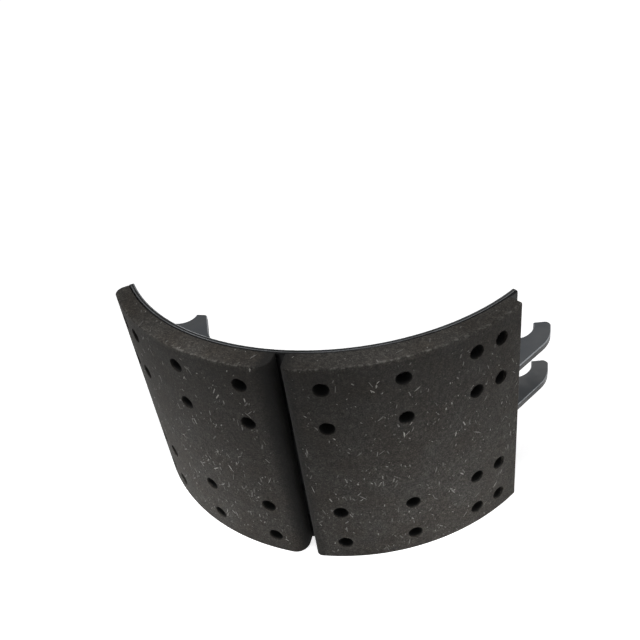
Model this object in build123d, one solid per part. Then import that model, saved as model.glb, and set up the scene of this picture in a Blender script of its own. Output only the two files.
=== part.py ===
from build123d import *
from math import cos, radians, sin, sqrt
import os

# Heavy drum brake shoe: a rolled steel table on two parallel webs, faced with two riveted blocks of
# friction lining. Millimetres, +Z up. The shoe stands on one side edge, so the drum axis is vertical.
#
# Layout: the table's arc is centred on the layout centre and its middle lies towards -Y, with the
# anchor end towards -X and the cam end towards +X. Angles are measured about the layout centre from
# the table's middle, positive towards the cam end. Heights are measured from the mid-plane. The
# finished pieces are moved so that the origin is on the anchor pin's axis, on the mid-plane.

# Table
SHOE_WIDTH = 219.1           # 8-5/8 in, along the drum axis
TABLE_RADIUS = 203.2         # outer face, which the lining lies on
TABLE_THICKNESS = 5.0
TABLE_OUTER_ROUND = 1.8      # rolled edge on the lining side
TABLE_INNER_ROUND = 0.9
TABLE_END_CHAMFER = 0.6
CAM_END_ANGLE = 56.8
ANCHOR_END_ANGLE = 61.2      # middle of the anchor end
ANCHOR_CORNER_ANGLE = 53.5   # side edges of the anchor end, which tapers
ANCHOR_NOSE_WIDTH = 56.0     # untapered middle of the anchor end

# Lining blocks
LINING_THICKNESS = 19.0      # at the middle of the shoe; it thins towards both ends
LINING_RADIUS_EXTRA = 5.1    # friction face, about the drum axis, over the table's radius
ANCHOR_BLOCK_ANGLES = (1.4, 53.4)    # its end at the gap, and its end at the anchor
CAM_BLOCK_ANGLES = (0.9, 53.7)
ANCHOR_BLOCK_GAP_ROUND = 12.0
ANCHOR_BLOCK_END_ROUND = 9.0
CAM_BLOCK_GAP_ROUND = 5.5
CAM_BLOCK_END_ROUND = 2.0
LINING_EDGE_CHAMFER = 0.5

# Rivets, four rows high and four columns along each block
RIVET_EDGE_DISTANCE = 19.95
RIVET_ROW_PITCH = 39.9
RIVET_COLUMN_ANGLES = (8.3, 24.4, 40.5, 47.2)
RIVET_SHANK_DIAMETER = 7.9
RIVET_HOLE_CLEARANCE = 0.2   # radial, shank in table and lining
RIVET_HEAD_DIAMETER = 12.5
RIVET_HEAD_THICKNESS = 1.8
RIVET_HEAD_CLEARANCE = 0.35  # radial, head in counterbore
RIVET_GRIP = 5.5             # lining under each head
RIVET_RING_DIAMETER = 10.8   # crimped end inside the table
RIVET_RING_HEIGHT = 1.8
RIVET_BORE_DIAMETER = 5.2    # hollow end of the shank
RIVET_BORE_DEPTH = 7.0

# Webs
WEB_THICKNESS = 7.0
WEB_SPACING = 46.0           # centre to centre
WEB_EDGE_CHAMFER = 0.7
WEB_INNER_SETBACK = 59.2     # long inner edge: its radius, under that of the table's inner face
WEB_INNER_SHIFT = 10.0       # centre of that edge, towards the cam end
WEB_INNER_LOWERING = 8.0     # centre of that edge, towards the table
WEB_INNER_START_ANGLE = -134.0    # ends of that edge, from +X about its own centre
WEB_INNER_END_ANGLE = -29.2

# Anchor end of each web: an open seat for a 1-1/4 in pin
ANCHOR_PIN_DIAMETER = 31.75
ANCHOR_SEAT_CLEARANCE = 0.15
ANCHOR_SEAT_ANGLE = 72.37
ANCHOR_SEAT_INSET = 29.8     # pin's centre, in from the table's inner face
ANCHOR_LIP_WIDTH = 2.0       # flat of the outer lip
ANCHOR_TIP_WIDTH = 10.6      # inner lip, level with the pin's centre
ANCHOR_NECK_ANGLE = 51.6
ANCHOR_NECK_INSET = 49.5
ANCHOR_NECK_ROUND = 52.0
ANCHOR_TIP_ROUND = 3.0

# Cam end of each web: an open pocket for a 1-5/8 in roller
ROLLER_DIAMETER = 41.3
ROLLER_POCKET_CLEARANCE = 0.35
ROLLER_ANGLE = 73.8
ROLLER_INSET = 28.3          # roller's centre, in from the table's inner face
SHOULDER_RISE = 4.3          # step from the table's inner face to the hook's outer edge
SHOULDER_GAP_ANGLE = 0.15    # table end to shoulder
HOOK_TIP_WIDTH = 15.2
HOOK_TIP_RISE = 8.6          # outer corner of the hook's tip, past the roller's centre
HOOK_TIP_TILT_ANGLE = 13.5   # the tip slopes down to the pocket
HOOK_TIP_ROUND = 5.0
HOOK_CORNER_ROUND = 40.0     # long curve from the hook's straight edge to its tip
LIP_WIDTH = 4.7              # lip on the other side of the pocket
LIP_DROP = 4.6
SEAT_MOUTH_ROUND = 1.2

# Holes through both webs
SPRING_PIN_HOLE = 11.0
SPRING_PIN_ANGLE = 35.9
SPRING_PIN_INSET = 30.3      # in from the table's inner face
RETAINER_HOLE = 8.0
RETAINER_ANGLE = 61.6
RETAINER_INSET = 24.8

# Fillet welds between webs and table
WELD_LEG = 4.0
WELD_BULGE = 0.5
WELD_END_MARGIN = 1.2        # degrees short of each end of the table
STITCH_COUNT = 5
STITCH_ANGLE = 8.0

TABLE_INNER_RADIUS = TABLE_RADIUS - TABLE_THICKNESS
LINING_RADIUS = TABLE_RADIUS + LINING_RADIUS_EXTRA
DRUM_OFFSET = LINING_THICKNESS - LINING_RADIUS_EXTRA
HALF_WIDTH = SHOE_WIDTH / 2
RIVET_HOLE_RADIUS = RIVET_SHANK_DIAMETER / 2 + RIVET_HOLE_CLEARANCE
COUNTERBORE_RADIUS = RIVET_HEAD_DIAMETER / 2 + RIVET_HEAD_CLEARANCE
SEAT_RADIUS = ANCHOR_PIN_DIAMETER / 2 + ANCHOR_SEAT_CLEARANCE
POCKET_RADIUS = ROLLER_DIAMETER / 2 + ROLLER_POCKET_CLEARANCE
WEB_FACES = (WEB_SPACING - WEB_THICKNESS) / 2, (WEB_SPACING + WEB_THICKNESS) / 2


def on_arc(radius, angle):
    """Point at a radius and an angle from the table's middle."""
    return radius * sin(radians(angle)), -radius * cos(radians(angle))


def in_web(inset, angle):
    """Point in from the table's inner face at an angle from the table's middle."""
    return on_arc(TABLE_INNER_RADIUS - inset, angle)


def along(angle):
    """Unit vector along the table, towards the cam end, at an angle."""
    return cos(radians(angle)), sin(radians(angle))


def swept(profile, start, end):
    """Sweep an XZ profile about the layout centre from one angle to another."""
    turned = revolve(profile, axis=Axis.Z, revolution_arc=end - start)
    return Rot(0, 0, start - 90) * turned


def outward(angle, height):
    """Placement on the layout centre's axis: local Z points out through the table, X up, and Y
    along the table towards the anchor end."""
    x, y = on_arc(1, angle)
    return Location(Plane(origin=(0, 0, height), x_dir=(0, 0, 1), z_dir=(x, y, 0)))


def rivet_places(side):
    """Placements of the rivets of one block: side is -1 for the anchor end, 1 for the cam end."""
    outer_row = HALF_WIDTH - RIVET_EDGE_DISTANCE
    inner_row = outer_row - RIVET_ROW_PITCH
    rows = (outer_row, inner_row, -inner_row, -outer_row)
    return [outward(side * angle, row) for angle in RIVET_COLUMN_ANGLES for row in rows]


def round_corner(face, corner, radius):
    """Round the corner of a flat face that is nearest to a point."""
    vertex = face.vertices().sort_by_distance((corner[0], corner[1], 0))[0]
    return fillet(vertex, radius)


def rim_edges(plate, joined_radius):
    """Top and bottom edges of an upright plate, except the arc where it is joined to its neighbour."""
    levels = plate.edges().group_by(Axis.Z)
    rim = levels[-1] + levels[0]
    return [edge for edge in rim if edge.geom_type != GeomType.CIRCLE
            or abs(edge.radius - joined_radius) > 0.001]


def rivet_holes(side):
    """Cutters for the shank holes of one block."""
    depth = TABLE_RADIUS + LINING_THICKNESS
    shank = extrude(Circle(RIVET_HOLE_RADIUS), depth * 1.1)
    return [place * shank for place in rivet_places(side)]


def anchor_end_taper():
    """Cutters for the two corners taken off the table's anchor end."""
    nose = ANCHOR_NOSE_WIDTH / 2
    middle = (ANCHOR_END_ANGLE + ANCHOR_CORNER_ANGLE) / 2
    half = TABLE_RADIUS * sin(radians(ANCHOR_END_ANGLE - middle))
    reach = 2 * half
    past = HALF_WIDTH + (HALF_WIDTH - nose)
    slope = 2 * half / (HALF_WIDTH - nose)
    corner = Polyline((nose, half), (past, half - slope * (past - nose)), (past, half + reach),
                      (nose, half + reach), close=True)
    wedge = extrude(make_face(corner), 2 * TABLE_RADIUS)
    placed = outward(-middle, 0) * wedge
    return [placed, mirror(placed, about=Plane.XY)]


def table():
    """Rolled plate, drilled for the rivets and tapered at its anchor end."""
    profile = Pos(TABLE_INNER_RADIUS + TABLE_THICKNESS / 2, 0) * Rectangle(TABLE_THICKNESS, SHOE_WIDTH)
    outer = profile.vertices().group_by(Axis.X)[-1]
    profile = fillet(outer, TABLE_OUTER_ROUND)
    inner = profile.vertices().group_by(Axis.X)[0]
    profile = fillet(inner, TABLE_INNER_ROUND)
    plate = swept(Plane.XZ * profile, -ANCHOR_END_ANGLE, CAM_END_ANGLE)
    plate = plate - anchor_end_taper()
    end_face = plate.faces().sort_by_distance((*on_arc(TABLE_RADIUS, CAM_END_ANGLE), 0))
    end_face = end_face.filter_by(GeomType.PLANE)[0]
    plate = chamfer(end_face.edges(), TABLE_END_CHAMFER)
    return plate - rivet_holes(-1) - rivet_holes(1)


def hook_mouth_corner(roller_x, roller_y, hook_tip):
    """Where the sloping tip of the hook meets the roller's pocket."""
    slope_x, slope_y = cos(radians(HOOK_TIP_TILT_ANGLE)), sin(radians(HOOK_TIP_TILT_ANGLE))
    across, rise = hook_tip[0] - roller_x, hook_tip[1] - roller_y
    nearest = across * slope_x + rise * slope_y
    run = nearest - sqrt(nearest ** 2 - across ** 2 - rise ** 2 + POCKET_RADIUS ** 2)
    return hook_tip[0] - run * slope_x, hook_tip[1] - run * slope_y


def web_outline():
    """Outline of a web, with its hook at the cam end and its pin seat at the anchor end."""
    seat_x, seat_y = in_web(ANCHOR_SEAT_INSET, -ANCHOR_SEAT_ANGLE)
    roller_x, roller_y = in_web(ROLLER_INSET, ROLLER_ANGLE)
    neck = in_web(ANCHOR_NECK_INSET, -ANCHOR_NECK_ANGLE)
    shoulder_angle = CAM_END_ANGLE + SHOULDER_GAP_ANGLE
    foot = on_arc(TABLE_INNER_RADIUS, shoulder_angle)
    shoulder = on_arc(TABLE_INNER_RADIUS + SHOULDER_RISE, shoulder_angle)
    along_x, along_y = along(shoulder_angle)
    hook_x = roller_x + POCKET_RADIUS + HOOK_TIP_WIDTH
    hook_length = (hook_x - shoulder[0]) / along_x
    hook_corner = (hook_x, shoulder[1] + hook_length * along_y)
    hook_tip = (hook_x, roller_y + HOOK_TIP_RISE)
    hook_mouth = hook_mouth_corner(roller_x, roller_y, hook_tip)
    lip_top = roller_y - LIP_DROP
    lip_x = roller_x - POCKET_RADIUS - LIP_WIDTH
    inner_arc = CenterArc((WEB_INNER_SHIFT, -WEB_INNER_LOWERING), TABLE_INNER_RADIUS - WEB_INNER_SETBACK,
                          WEB_INNER_START_ANGLE, WEB_INNER_END_ANGLE - WEB_INNER_START_ANGLE)
    tip_x = seat_x + SEAT_RADIUS + ANCHOR_TIP_WIDTH
    heel = on_arc(TABLE_INNER_RADIUS, -ANCHOR_END_ANGLE)
    outer_lip = seat_y - sqrt(SEAT_RADIUS ** 2 - (seat_x - heel[0] - ANCHOR_LIP_WIDTH) ** 2)

    table_arc = CenterArc((0, 0), TABLE_INNER_RADIUS, -ANCHOR_END_ANGLE - 90,
                          ANCHOR_END_ANGLE + shoulder_angle)
    cam_side = Polyline(foot, shoulder, hook_corner, hook_tip, hook_mouth, (roller_x, roller_y),
                        (roller_x, lip_top), (lip_x, lip_top), inner_arc @ 1)
    anchor_side = Polyline(inner_arc @ 0, neck, (tip_x, seat_y), (seat_x, seat_y),
                           (seat_x, outer_lip), (heel[0], outer_lip), heel)
    outline = make_face([table_arc, cam_side, inner_arc, anchor_side])
    outline = outline - Pos(seat_x, seat_y) * Circle(SEAT_RADIUS)
    outline = outline - Pos(roller_x, roller_y) * Circle(POCKET_RADIUS)

    lip_mouth = roller_x - sqrt(POCKET_RADIUS ** 2 - LIP_DROP ** 2)
    outline = round_corner(outline, neck, ANCHOR_NECK_ROUND)
    outline = round_corner(outline, (tip_x, seat_y), ANCHOR_TIP_ROUND)
    outline = round_corner(outline, hook_tip, HOOK_TIP_ROUND)
    outline = round_corner(outline, hook_corner, HOOK_CORNER_ROUND)
    outline = round_corner(outline, shoulder, SEAT_MOUTH_ROUND)
    outline = round_corner(outline, hook_mouth, SEAT_MOUTH_ROUND)
    outline = round_corner(outline, (lip_mouth, lip_top), SEAT_MOUTH_ROUND)
    outline = round_corner(outline, (lip_x, lip_top), SEAT_MOUTH_ROUND)
    outline = round_corner(outline, (seat_x + SEAT_RADIUS, seat_y), SEAT_MOUTH_ROUND)
    return outline


def web():
    """Plate on the mid-plane, with its outline's edges chamfered except where it meets the table."""
    plate = Pos(0, 0, -WEB_THICKNESS / 2) * extrude(web_outline(), WEB_THICKNESS)
    spring_pin = in_web(SPRING_PIN_INSET, -SPRING_PIN_ANGLE)
    retainer = in_web(RETAINER_INSET, -RETAINER_ANGLE)
    plate = plate - Pos(*spring_pin) * Cylinder(SPRING_PIN_HOLE / 2, 2 * WEB_THICKNESS)
    plate = plate - Pos(*retainer) * Cylinder(RETAINER_HOLE / 2, 2 * WEB_THICKNESS)
    return chamfer(rim_edges(plate, TABLE_INNER_RADIUS), WEB_EDGE_CHAMFER)


def weld(start, end, height, rise):
    """Bead in the corner of table and web: rise is 1 when it lies on top of the web, -1 below it."""
    corner = (TABLE_INNER_RADIUS, height)
    on_web = (TABLE_INNER_RADIUS - WELD_LEG, height)
    on_table = (TABLE_INNER_RADIUS, height + rise * WELD_LEG)
    crown = WELD_LEG / 2 - WELD_BULGE / sqrt(2)
    face = ThreePointArc(on_web, (TABLE_INNER_RADIUS - WELD_LEG + crown,
                                  height + rise * (WELD_LEG - crown)), on_table)
    section = make_face([Line(corner, on_web), face, Line(on_table, corner)])
    return swept(Plane.XZ * section, start, end)


def web_welds(side):
    """Long bead outside one web and short stitches inside it: side is 1 for the upper web."""
    inner_face, outer_face = WEB_FACES
    start = -ANCHOR_END_ANGLE + WELD_END_MARGIN
    end = CAM_END_ANGLE - WELD_END_MARGIN
    beads = [weld(start, end, side * outer_face, side)]
    pitch = (end - start - STITCH_ANGLE) / (STITCH_COUNT - 1)
    for number in range(STITCH_COUNT):
        begin = start + number * pitch
        beads.append(weld(begin, begin + STITCH_ANGLE, side * inner_face, -side))
    return Compound(children=beads)


def lining_block(side, angles, gap_round, end_round):
    """Block of lining between the table and the friction face, counterbored for its rivets."""
    drum_centre = (0, -DRUM_OFFSET)
    ring = Pos(*drum_centre) * Circle(LINING_RADIUS) - Circle(TABLE_RADIUS)
    reach = 2 * LINING_RADIUS
    near, far = side * angles[0], side * angles[1]
    middle = (near + far) / 2
    bounds = Polyline((0, 0), on_arc(reach, near), on_arc(reach, middle), on_arc(reach, far), close=True)
    outline = ring & make_face(bounds)
    outline = round_corner(outline, on_arc(TABLE_RADIUS + LINING_THICKNESS, near), gap_round)
    outline = round_corner(outline, on_arc(TABLE_RADIUS + LINING_THICKNESS, far), end_round)
    block = Pos(0, 0, -HALF_WIDTH) * extrude(outline, SHOE_WIDTH)
    block = chamfer(rim_edges(block, TABLE_RADIUS), LINING_EDGE_CHAMFER)
    floor = TABLE_RADIUS + RIVET_GRIP
    counterbore = Pos(0, 0, floor) * extrude(Circle(COUNTERBORE_RADIUS), 2 * LINING_THICKNESS)
    return block - rivet_holes(side) - [place * counterbore for place in rivet_places(side)]


def rivet():
    """Semi-tubular rivet along +Z: head in the counterbore, crimped ring against the table's inside."""
    shank = RIVET_SHANK_DIAMETER / 2
    bore = RIVET_BORE_DIAMETER / 2
    ring = RIVET_RING_DIAMETER / 2
    head = RIVET_HEAD_DIAMETER / 2
    seat = TABLE_RADIUS + RIVET_GRIP
    ring_top = sqrt(TABLE_INNER_RADIUS ** 2 - ring ** 2)
    ring_end = ring_top - RIVET_RING_HEIGHT
    roll = RIVET_RING_HEIGHT / 2
    lines = Polyline((0, seat + RIVET_HEAD_THICKNESS), (head, seat + RIVET_HEAD_THICKNESS), (head, seat),
                     (shank, seat), (shank, ring_top), (ring - roll, ring_top))
    curl = ThreePointArc((ring - roll, ring_top), (ring, ring_top - roll), (ring - roll, ring_end))
    inside = Polyline((ring - roll, ring_end), (bore + roll, ring_end), (bore, ring_end + roll),
                      (bore, ring_end + RIVET_BORE_DEPTH), (0, ring_end + RIVET_BORE_DEPTH + bore / 2),
                      (0, seat + RIVET_HEAD_THICKNESS))
    return revolve(Plane.XZ * make_face([lines, curl, inside]), axis=Axis.Z)


def rivets(side):
    """The rivets of one block."""
    one = rivet()
    return Compound(children=[place * one for place in rivet_places(side)])


upper_web = Pos(0, 0, WEB_SPACING / 2) * web()
pieces = {
    "shoe_table": table(),
    "upper_web": upper_web,
    "lower_web": mirror(upper_web, about=Plane.XY),
    "upper_web_welds": web_welds(1),
    "lower_web_welds": web_welds(-1),
    "anchor_end_lining": lining_block(-1, ANCHOR_BLOCK_ANGLES, ANCHOR_BLOCK_GAP_ROUND,
                                      ANCHOR_BLOCK_END_ROUND),
    "cam_end_lining": lining_block(1, CAM_BLOCK_ANGLES, CAM_BLOCK_GAP_ROUND, CAM_BLOCK_END_ROUND),
    "anchor_end_rivets": rivets(-1),
    "cam_end_rivets": rivets(1),
}

anchor_x, anchor_y = in_web(ANCHOR_SEAT_INSET, -ANCHOR_SEAT_ANGLE)
to_origin = Pos(-anchor_x, -anchor_y, 0)
os.makedirs("parts", exist_ok=True)
for name, piece in pieces.items():
    export_step(to_origin * piece, f"parts/{name}.step")
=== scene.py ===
# %% [markdown]
# # A riveted drum brake shoe
# This lesson dresses a solid model of a heavy drum brake shoe: a curved steel table, two webs
# welded inside it, and two blocks of friction lining riveted outside. The solids come from the
# frame at their real size, in metres, so everything added here is placed by measurement.

import math

import bmesh
import bpy
from mathutils import Matrix, Vector


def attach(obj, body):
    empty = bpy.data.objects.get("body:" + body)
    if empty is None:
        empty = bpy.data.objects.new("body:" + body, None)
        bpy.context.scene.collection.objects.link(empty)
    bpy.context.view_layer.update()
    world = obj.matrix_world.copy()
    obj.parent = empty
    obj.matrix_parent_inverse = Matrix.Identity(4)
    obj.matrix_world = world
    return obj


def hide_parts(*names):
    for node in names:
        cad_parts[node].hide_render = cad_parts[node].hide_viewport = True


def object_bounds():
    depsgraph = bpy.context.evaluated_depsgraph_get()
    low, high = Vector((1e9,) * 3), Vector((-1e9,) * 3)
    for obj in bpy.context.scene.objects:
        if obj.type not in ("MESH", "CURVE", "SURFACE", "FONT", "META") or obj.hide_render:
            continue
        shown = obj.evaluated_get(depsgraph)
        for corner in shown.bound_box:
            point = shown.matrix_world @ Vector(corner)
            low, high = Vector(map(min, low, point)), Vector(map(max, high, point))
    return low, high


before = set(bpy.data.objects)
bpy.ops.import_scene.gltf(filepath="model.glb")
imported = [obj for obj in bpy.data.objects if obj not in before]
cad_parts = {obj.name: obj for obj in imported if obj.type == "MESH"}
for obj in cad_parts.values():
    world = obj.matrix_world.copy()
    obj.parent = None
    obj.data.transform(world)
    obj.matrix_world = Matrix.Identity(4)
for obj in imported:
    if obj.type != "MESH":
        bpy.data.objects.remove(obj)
solid_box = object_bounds()
MM = 0.001
print("solids:", ", ".join(sorted(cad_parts)))

# %% [markdown]
# ## Where things are
# A shoe is laid out about two axes. The table is an arc about its own centre. The lining is
# ground to an arc about the drum's axis, which lies a little nearer to the table, so the lining
# is thickest in the middle. The model's origin is on the anchor pin's axis, so both axes are
# given from there. Every angle is measured from the table's middle, and every height from the
# plane halfway between the webs.

# %% Axes, radii and heights
TABLE_CENTRE = Vector((160.49, 51.0, 0)) * MM
DRUM_CENTRE = TABLE_CENTRE + Vector((0, -13.9, 0)) * MM
TABLE_INNER = 198.2 * MM
TABLE_OUTER = 203.2 * MM
LINING_FACE = 208.3 * MM
HALF_WIDTH = 109.55 * MM
WEB_OUTSIDE = 26.5 * MM
WEB_INSIDE = 19.5 * MM


def around(radius, angle):
    """Point at a radius and an angle from the table's middle, positive towards the cam end."""
    turn = math.radians(angle)
    return TABLE_CENTRE + Vector((radius * math.sin(turn), -radius * math.cos(turn), 0))


print("the table's middle is at", [round(value, 4) for value in around(TABLE_OUTER, 0)])

# %% [markdown]
# ## Helpers for node trees
# Paint charts give sRGB colours, while the renderer works in linear light, so one function
# converts hex colours. Another adds a node with its settings, its links and, for a colour ramp,
# its stops. Materials and geometry trees are both made of nodes, so the same helper serves them
# all, and a tree reads as a list of steps.

# %% Colour and node helpers
def colour(code):
    """Linear RGBA from an sRGB hex code."""
    parts = [int(code[i:i + 2], 16) / 255 for i in (1, 3, 5)]
    return (*[c / 12.92 if c <= 0.04045 else ((c + 0.055) / 1.055) ** 2.4 for c in parts], 1.0)


def connect(tree, node, inputs):
    """Set or link inputs. A node stands for its first output in use, and a list joins its items.
    Inputs that share a name go by number: a Mix blends colours 6 and 7, and a Random Value lies
    from 2 to 3, or from 4 to 5 if it is whole."""
    for name, given in inputs.items():
        for value in given if isinstance(given, list) else [given]:
            if isinstance(value, bpy.types.Node):
                value = next(socket for socket in value.outputs if socket.enabled)
            if isinstance(value, bpy.types.NodeSocket):
                tree.links.new(value, node.inputs[name])
            else:
                node.inputs[name].default_value = value


def add(tree, kind, inputs=None, stops=(), **settings):
    """Add a node. A colour ramp's stops are places and hex colours."""
    node = tree.nodes.new(kind)
    for name, value in settings.items():
        setattr(node, name, value)
    connect(tree, node, inputs or {})
    if stops:
        elements = node.color_ramp.elements
        while len(elements) < len(stops):
            elements.new(0.5)
        for element, (place, code) in zip(elements, stops):
            element.position = place
            element.color = colour(code)
    return node


def new_material(name):
    """A material with an empty node tree."""
    material = bpy.data.materials.new(name)
    material.use_nodes = True
    material.node_tree.nodes.clear()
    return material, material.node_tree


def per_metre(size_mm):
    """Texture scale at which one feature of the pattern is this many millimetres across."""
    return 1 / (size_mm * MM)


print("mid grey in linear light:", round(colour("#808080")[0], 3))

# %% [markdown]
# ## Masks
# Paint, wear and dust lie in known places: near an edge, inside a bore, at a height. Each place
# is a mask, a value that is 1 there and 0 elsewhere. Masks could be painted by hand, but ones
# worked out from sizes stay right when a size changes, and need no image.

# %% Masks from measurements
def radius_from(tree, place, centre):
    """Distance of each place from an upright axis."""
    offset = add(tree, "ShaderNodeVectorMath", {0: place, 1: centre}, operation="SUBTRACT")
    flat = add(tree, "ShaderNodeVectorMath", {0: offset, 1: (1.0, 1.0, 0.0)}, operation="MULTIPLY")
    return add(tree, "ShaderNodeVectorMath", {0: flat}, operation="LENGTH")


def from_middle(tree, place):
    """Offsets from the table's axis and from the plane halfway between the webs."""
    offset = add(tree, "ShaderNodeVectorMath", {0: place, 1: TABLE_CENTRE}, operation="SUBTRACT")
    return add(tree, "ShaderNodeSeparateXYZ", {"Vector": offset}).outputs


def height_from_middle(tree, place):
    """Distance from the plane halfway between the webs."""
    return add(tree, "ShaderNodeMath", {0: from_middle(tree, place)["Z"]}, operation="ABSOLUTE")


def all_of(tree, *masks):
    """1 where every mask is 1."""
    result = masks[0]
    for mask in masks[1:]:
        result = add(tree, "ShaderNodeMath", {0: result, 1: mask}, operation="MULTIPLY")
    return result


def band(tree, value, low, high):
    """1 where a value lies between two limits."""
    above = add(tree, "ShaderNodeMath", {0: value, 1: low}, operation="GREATER_THAN")
    below = add(tree, "ShaderNodeMath", {0: value, 1: high}, operation="LESS_THAN")
    return all_of(tree, above, below)


print("mask helpers ready")

# %% [markdown]
# ## Friction lining
# Brake lining is a moulded mix of resin, mineral fibre and metal chips, ground to shape. It is
# dull, warm and dark grey. An image could be wrapped round the block, but noise at three sizes
# fits any block and never repeats: a slow cast, a mottle of a few millimetres and a fine grit.
# The grit is really finer than a millimetre and is drawn a little coarser, so that it shows.
# The faces are drawn darker towards their top and lighter at the bottom, as painted shade and painted
# light from the floor below.

# %% Grain of the lining
LINING_NOISES = ((28.0, 3.0, 0.5), (3.4, 5.0, 0.65), (1.2, 2.0, 0.6))    # mm, detail, roughness
SIDE_FACE_DEPTH = 0.3 * MM


def lining_noises(tree, place):
    """Slow patches, mottle and grit."""
    return [add(tree, "ShaderNodeTexNoise", {
        "Vector": place, "Scale": per_metre(size_mm), "Detail": detail, "Roughness": roughness})
            for size_mm, detail, roughness in LINING_NOISES]


def lining_tint(tree, place, patch, mottle, grit):
    """Mottle and grit in equal parts, under the slow cast and painted shade that darkens towards the top.
    """
    body = add(tree, "ShaderNodeValToRGB", {"Fac": mottle},
               stops=[(0.32, "#242220"), (0.5, "#3d3b38"), (0.68, "#5c5954")])
    speck = add(tree, "ShaderNodeValToRGB", {"Fac": grit},
                stops=[(0.34, "#1a1918"), (0.5, "#393734"), (0.62, "#575450"), (0.74, "#807d77")])
    tint = add(tree, "ShaderNodeMix", {"Factor": 0.5, 6: body, 7: speck}, data_type="RGBA")
    cast = add(tree, "ShaderNodeValToRGB", {"Fac": patch}, stops=[(0.35, "#e6e0da"), (0.65, "#ffffff")])
    level = add(tree, "ShaderNodeMapRange", {
        "Value": from_middle(tree, place)["Z"], "From Min": -HALF_WIDTH,
        "From Max": HALF_WIDTH - SIDE_FACE_DEPTH})
    # Painted shade: lighter at the bottom of the friction faces and darker towards their top, as if lit
    # from the floor
    painted_bounce_shade = add(tree, "ShaderNodeValToRGB", {"Fac": level},
                stops=[(0.0, "#ffffff"), (0.5, "#e8e8e8"), (0.98, "#bcbcbc"), (1.0, "#f4f4f4")])
    for layer in (cast, painted_bounce_shade):
        tint = add(tree, "ShaderNodeMix", {"Factor": 1.0, 6: tint, 7: layer},
                   data_type="RGBA", blend_type="MULTIPLY")
    return tint


print("lining noises of", [noise[0] for noise in LINING_NOISES], "mm")

# %% [markdown]
# ## Paint, painted shade and painted highlights on the lining
# The shoe is sprayed before it is packed. Paint went into the gap between the blocks and dusted the ends
# beside it, more on the anchor side, with a ragged limit. The counterbores are painted near black, as
# painted shade in their depth. Pale lines along the edges of the friction face are painted highlights on
# those corners, broken up in places. Each of these is a mask by distance, broken up by the same noises, so
# they belong to the surface.

# %% Overspray beside the gap
SPRAY_INNER = 5.0 * MM       # from the middle of the shoe: fully dark
SPRAY_OUTER = 17.0 * MM      # and where the dark fades out
SPRAY_COVER = 0.85
SPRAY_RAGGED = 9.0 * MM
SPRAY_DRAWN_IN = 3.0 * MM    # narrower by this much at the bottom
SPRAY_FULL_HEIGHT = 30.0 * MM
SPRAY_CAM_SIDE = (4.0 * MM, 16.0 * MM)


def overspray(tree, place, patch):
    """Dark beside the gap, wide on the anchor side and narrow on the cam side."""
    offset = from_middle(tree, place)
    ragged = add(tree, "ShaderNodeMath", {0: patch, 1: SPRAY_RAGGED, 2: offset["X"]},
                 operation="MULTIPLY_ADD")
    drawn_in = add(tree, "ShaderNodeMapRange", {
        "Value": offset["Z"], "From Min": -HALF_WIDTH, "From Max": SPRAY_FULL_HEIGHT,
        "To Min": -SPRAY_DRAWN_IN, "To Max": 0.0})
    ragged = add(tree, "ShaderNodeMath", {0: ragged, 1: drawn_in}, operation="ADD")
    anchor_side = add(tree, "ShaderNodeMapRange", {
        "Value": ragged, "From Min": -SPRAY_OUTER, "From Max": -SPRAY_INNER, "To Max": SPRAY_COVER},
        interpolation_type="SMOOTHSTEP")
    cam_side = add(tree, "ShaderNodeMapRange", {
        "Value": offset["X"], "From Min": SPRAY_CAM_SIDE[0], "From Max": SPRAY_CAM_SIDE[1],
        "To Min": 1.0, "To Max": 0.0})
    return all_of(tree, anchor_side, cam_side)


print("overspray reaches", round(SPRAY_OUTER / MM), "mm from the middle")

# %% Painted shade in the bores, and painted highlights on the edges
BORE_SHADE_DEPTHS = (LINING_FACE - 0.3 * MM, LINING_FACE - 2.5 * MM)     # starts, and fully dark
BORE_REACH = (18.0 * MM, 161.0 * MM)         # bores lie between these distances from the middle
BORE_SIDE_MARGIN = 4.0 * MM
EDGE_HIGHLIGHT_FACE = (LINING_FACE - 2.4 * MM, LINING_FACE - 0.4 * MM)
EDGE_HIGHLIGHT_SIDE = (HALF_WIDTH - 1.3 * MM, HALF_WIDTH - 0.3 * MM)
EDGE_HIGHLIGHT_MOTTLE = (0.48, 0.66)


def painted_bore_shade(tree, place, radius):
    """Painted shade below the friction face, inside the bores, away from the block's ends and sides."""
    deep = add(tree, "ShaderNodeMapRange", {
        "Value": radius, "From Min": BORE_SHADE_DEPTHS[0], "From Max": BORE_SHADE_DEPTHS[1]})
    reach = add(tree, "ShaderNodeMath", {0: from_middle(tree, place)["X"]}, operation="ABSOLUTE")
    inside = add(tree, "ShaderNodeMath", {
        0: height_from_middle(tree, place), 1: HALF_WIDTH - BORE_SIDE_MARGIN}, operation="LESS_THAN")
    return all_of(tree, deep, inside, band(tree, reach, *BORE_REACH))


def pale_edge_highlight(tree, place, radius, mottle):
    """Painted highlight: pale along the edges between the friction face and the side faces, broken by the
    mottle.
    """
    limits = ((radius, EDGE_HIGHLIGHT_FACE), (height_from_middle(tree, place), EDGE_HIGHLIGHT_SIDE),
              (mottle, EDGE_HIGHLIGHT_MOTTLE))
    return all_of(tree, *[
        add(tree, "ShaderNodeMapRange", {"Value": value, "From Min": start, "From Max": full})
        for value, (start, full) in limits])


print("bores are fully dark", round((LINING_FACE - BORE_SHADE_DEPTHS[1]) / MM, 1), "mm deep")

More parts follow.
